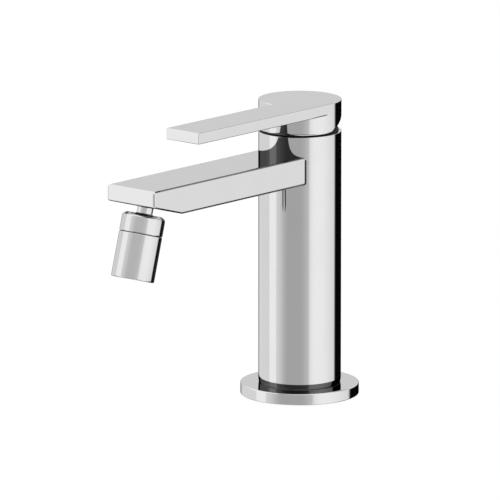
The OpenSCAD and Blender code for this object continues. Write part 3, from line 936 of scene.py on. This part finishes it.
low_round = [
    (LEVER_EDGE * (1 - math.sin(a)), LEVER_EDGE * (1 - math.cos(a))) for a in bevel_turns
]
rim_round = [(CAP_EDGE * (1 - math.sin(a)), CAP_EDGE_H * (1 - math.cos(a))) for a in bevel_turns]
high_round = [
    (LEVER_EDGE * (1 - math.cos(a)), CAP_TOP - LEVER_EDGE + LEVER_EDGE * math.sin(a))
    for a in reversed(bevel_turns)
]
left_angles, right_angles, join_heights = [], [], []
for inset, rise in reversed(low_round):
    x = LEVER_IN + inset
    left_angles.append(math.atan2(on_round(x, BODY_R), x) + 2 * math.pi)
    x = LEVER_OUT - inset
    right_angles.append(math.atan2(on_round(x, BODY_R), x) + 2 * math.pi)
    join_heights.append(LEVER_BOTTOM + JOIN_SWELL * rise)
between = spread(left_angles[-1], right_angles[-1], count=56)[1:]
front_angles = left_angles + between + right_angles[::-1]
front_heights = join_heights + [LEVER_BOTTOM] * len(between) + join_heights[::-1]


def rim_height(y):
    """Height of the cap's lower edge at y, over the relief at the back."""
    return CAP_BOTTOM + max(y, 0.0) * RELIEF


def hollow_radius(angle):
    """Where the cap's lower face meets the round hollow, at an angle in plan."""
    slope = max(math.sin(angle), 0.0) * RELIEF
    lift = CAP_BOTTOM - PIVOT_Z
    a, b, c = 1 + slope * slope, 2 * slope * lift, lift * lift - HOLLOW_R**2
    return (-b + math.sqrt(b * b - 4 * a * c)) / (2 * a)


shell = bmesh.new()


def cap_line(angle, wall, fixed=None):
    """Vertices down one upright line of the cap: its wall, its rim, and up the hollow inside."""
    fixed = fixed or {}
    made = []
    for level, (radius, z) in enumerate(wall):
        x, y = fixed.get(level, (radius * math.cos(angle), radius * math.sin(angle)))
        made.append(shell.verts.new((x, y, z)))
    base = rim_height((BODY_R - CAP_EDGE) * math.sin(angle))
    rim = hollow_radius(angle)
    first = math.asin((rim_height(rim * math.sin(angle)) - PIVOT_Z) / HOLLOW_R)
    last = math.asin((HOLLOW_TOP - PIVOT_Z) / HOLLOW_R)
    edge = [(BODY_R - inset, base + rise) for inset, rise in reversed(rim_round)]
    for r, z in edge + ball_run(HOLLOW_R, PIVOT_Z, first, last, HOLLOW_STEPS):
        made.append(shell.verts.new((r * math.cos(angle), r * math.sin(angle), z)))
    return made


rear_wall = [(BODY_R - inset, z) for inset, z in high_round]
rear_wall.append((BODY_R, LEVER_BOTTOM + JOIN_SWELL * LEVER_EDGE))
high_runs = [lever_run(inset, BODY_R - inset) for inset, z in high_round]
at_right = {level: run[0] for level, run in enumerate(high_runs)}
at_left = {level: run[-1] for level, run in enumerate(high_runs)}
rear = [cap_line(rear_angles[0], rear_wall, at_right)]
rear += [cap_line(angle, rear_wall) for angle in rear_angles[1:-1]]
rear.append(cap_line(left_join, rear_wall, at_left))
front = [
    cap_line(angle, [(BODY_R, z)])
    for angle, z in zip(front_angles[1:-1], front_heights[1:-1])
]
skin(shell, rear)
join_level = len(rear_wall) - 1
front = [rear[-1][join_level:]] + front + [rear[0][join_level:]]
skin(shell, front)

bar_rows = []
for level, (run, (inset, z)) in enumerate(zip(high_runs, high_round)):
    inner = [shell.verts.new((x, y, z)) for x, y in run[1:-1]]
    bar_rows.append([rear[0][level], *inner, rear[-1][level]])
for k, (inset, rise) in enumerate(reversed(low_round)):
    run = lever_run(inset, BODY_R)
    inner = [shell.verts.new((x, y, LEVER_BOTTOM + rise)) for x, y in run[1:-1]]
    bar_rows.append([front[-1 - k][0], *inner, front[k][0]])
skin(shell, bar_rows)
under_cap = [line[0] for line in front[ROUND_STEPS + 1:-ROUND_STEPS - 1]]
shell.faces.new(bar_rows[-1] + under_cap)
shell.faces.new([line[0] for line in rear] + bar_rows[0][::-1][1:-1])
shell.faces.new([line[-1] for line in rear] + [line[-1] for line in front[1:-1]])
handle = piece("handle_shell", shell, chrome)

on_stem = at(0, 0, PIVOT_Z) @ Matrix.Rotation(STEM_LEAN, 4, "X")
on_screw = on_stem @ at(0, 0, SCREW_AT) @ Matrix.Rotation(-math.pi / 2, 4, "Y")
socket_w = STEM_W + 2 * FIT
machine(handle, [
    ("UNION", rod(on_stem, BOSS_R, BOSS_LOW, BOSS_TOP)),
    (
        "DIFFERENCE",
        block(on_stem @ at(0, 0, SOCKET_TOP / 2), (socket_w, socket_w, SOCKET_TOP)),
    ),
    ("DIFFERENCE", rod(on_screw, SCREW_R + FIT, 0, PLUG_FLOOR + OVERCUT, segments=48)),
    ("DIFFERENCE", rod(on_screw, PLUG_R + FIT, PLUG_FLOOR, PAST_CAP)),
])


def true_round(made, radius):
    """Gives an upright round wall its exact normals, however its faces are spaced."""
    graph = bpy.context.evaluated_depsgraph_get()
    mesh = bpy.data.meshes.new_from_object(
        made.evaluated_get(graph), preserve_all_data_layers=True, depsgraph=graph
    )
    normals = [corner.vector.copy() for corner in mesh.corner_normals]
    for face in mesh.polygons:
        places = [mesh.vertices[v].co for v in face.vertices]
        off_round = max(abs(place.xy.length - radius) for place in places)
        if abs(face.normal.z) > UPRIGHT or off_round > ON_ROUND:
            continue
        for corner, place in zip(face.loop_indices, places):
            normals[corner] = Vector((place.x, place.y, 0)).normalized()
    mesh.normals_split_custom_set(normals)
    made.modifiers.clear()
    made.data = mesh
    mesh.name = made.name


true_round(handle, BODY_R * MM)
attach(handle, "lever")
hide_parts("handle")


# Grub screw and button
# A short hexagon-socket screw clamps the handle on the stem from its left side. A chrome button
# closes the hole, a little below the cap's skin.
PLUG_FACE = 21.8
PLUG_FOOT = 0.2
PLUG_EDGE = 0.35

dress(["handle_screw"], steel)
button_profile = rounded([
    (0, PLUG_FLOOR, 0),
    (PLUG_R, PLUG_FLOOR, PLUG_FOOT),
    (PLUG_R, PLUG_FACE, PLUG_EDGE),
    (0, PLUG_FACE, 0),
])
button = piece("screw_button", turned(button_profile, on_screw, steps=64), chrome)
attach(button, "lever")
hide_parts("screw_plug")


# Ball stem
# A turned and chrome-plated stem, screwed up into the spout's cut-away with an O-ring. The nozzle
# swivels and tilts on the ball at its lower end, and water runs through its bore.
NECK_R = 4.3
NECK_FILLET = 0.5
FILLET_MID = 0.15
BALL_R = 8.0
BALL_AT = 10.1
BALL_FLAT = 6.0
BORE_CHAMFER = 0.4
SHANK_LEN = 4.6
SHANK_CHAMFER = 0.3
FACE_CHAMFER = 0.2
RING_AT = -2.2
RING_HALF = 0.65
RING_DEEP = 1.25

neck_turn = math.acos(NECK_R / BALL_R)
flat_turn = math.asin(BALL_FLAT / BALL_R)
stem_profile = [
    (STEM_BORE, -SHANK_LEN),
    (SHANK_R - SHANK_CHAMFER, -SHANK_LEN),
    (SHANK_R, -SHANK_LEN + SHANK_CHAMFER),
    (SHANK_R, RING_AT - RING_HALF),
    (SHANK_R - RING_DEEP, RING_AT - RING_HALF),
    (SHANK_R - RING_DEEP, RING_AT + RING_HALF),
    (SHANK_R, RING_AT + RING_HALF),
    (SHANK_R, -FACE_CHAMFER),
    (SHANK_R - FACE_CHAMFER, 0),
    (NECK_R + NECK_FILLET, 0),
    (NECK_R + FILLET_MID, FILLET_MID),
    (NECK_R, NECK_FILLET),
    *ball_run(BALL_R, BALL_AT, -neck_turn, flat_turn, steps=28),
    (STEM_BORE + BORE_CHAMFER, BALL_AT + BALL_FLAT),
    (STEM_BORE, BALL_AT + BALL_FLAT - BORE_CHAMFER),
]
stem = piece("ball_stem_turned", turned(stem_profile, on_nozzle, steps=128), chrome)
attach(stem, "swivel_ball")
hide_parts("ball_stem")


# Nozzle
# A collar with a sloped shoulder grips the ball from above, and the barrel screws up into it
# against the seat; both are turned brass, chrome plated, and meet in a fine seam.
NOZZLE_R = 11.6
NOZZLE_GAP = 3.7
COLLAR_END = 14.3
NOZZLE_END = 38.9
SHOULDER_H = 1.3
SHOULDER_W = 2.3
SHOULDER_ROUND = 1.5
FLANK_ROUND = 2.2
SEAM = 0.75
COLLAR_IN = 9.7
OPENING_R = 6.567
OPENING_EDGE = 0.25
SOCKET_R = 8.05
THREAD_TOP = 10.7
BARREL_TOP = 11.0
BARREL_EDGE = 0.1
THREAD_EDGE = 0.2
RIM_EDGE = 0.7
MOUTH_EDGE = 0.3
SEAT_R = 8.55
LEDGE_AT = 17.8
THROAT_R = 6.0
MOUTH_R = 9.45
MOUTH_TOP = 23.5

socket_from = -math.acos(OPENING_R / SOCKET_R)
socket_to = math.asin((THREAD_TOP - BALL_AT) / SOCKET_R)
socket = ball_run(SOCKET_R, BALL_AT, socket_from, socket_to, steps=14)
collar_profile = rounded([
    (OPENING_R, NOZZLE_GAP, OPENING_EDGE),
    (NOZZLE_R - SHOULDER_W, NOZZLE_GAP, SHOULDER_ROUND),
    (NOZZLE_R, NOZZLE_GAP + SHOULDER_H, FLANK_ROUND),
    (NOZZLE_R, COLLAR_END, SEAM),
    (COLLAR_IN, COLLAR_END, 0),
    (COLLAR_IN, THREAD_TOP, 0),
    *[(r, h, 0) for r, h in reversed(socket)],
])
barrel_profile = rounded([
    (SEAT_R, BARREL_TOP, BARREL_EDGE),
    (COLLAR_IN - FIT, BARREL_TOP, THREAD_EDGE),
    (COLLAR_IN - FIT, COLLAR_END, 0),
    (NOZZLE_R, COLLAR_END, SEAM),
    (NOZZLE_R, NOZZLE_END, RIM_EDGE),
    (MOUTH_R, NOZZLE_END, MOUTH_EDGE),
    (MOUTH_R, MOUTH_TOP, 0),
    (THROAT_R, MOUTH_TOP, 0),
    (THROAT_R, LEDGE_AT, 0),
    (SEAT_R, LEDGE_AT, 0),
])
collar = piece("nozzle_collar_turned", turned(collar_profile, on_nozzle), chrome)
barrel = piece("nozzle_barrel_turned", turned(barrel_profile, on_nozzle), chrome)
for ring, name in ((collar, "nozzle_collar"), (barrel, "nozzle_barrel")):
    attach(ring, "nozzle")
    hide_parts(name)


# Nozzle insides
# A white acetal seat presses the ball up into the collar. The aerator is a white acetal cage with a
# jet plate and two steel screens, pushed into the barrel's mouth against its washer.
white_acetal = finish(
    "white_acetal",
    colour=(0.80, 0.81, 0.82),
    shade=(0.74, 0.75, 0.77),
    metallic=0.0,
    roughness=(0.36, 0.50),
    relief=5e-6,
    marks={"Patch Size": 5 * MM, "Grain Size": 0.25 * MM},
)
dress(["ball_seat", "aerator_cage", "aerator_diffuser"], white_acetal)
dress(["aerator_screens"], steel)
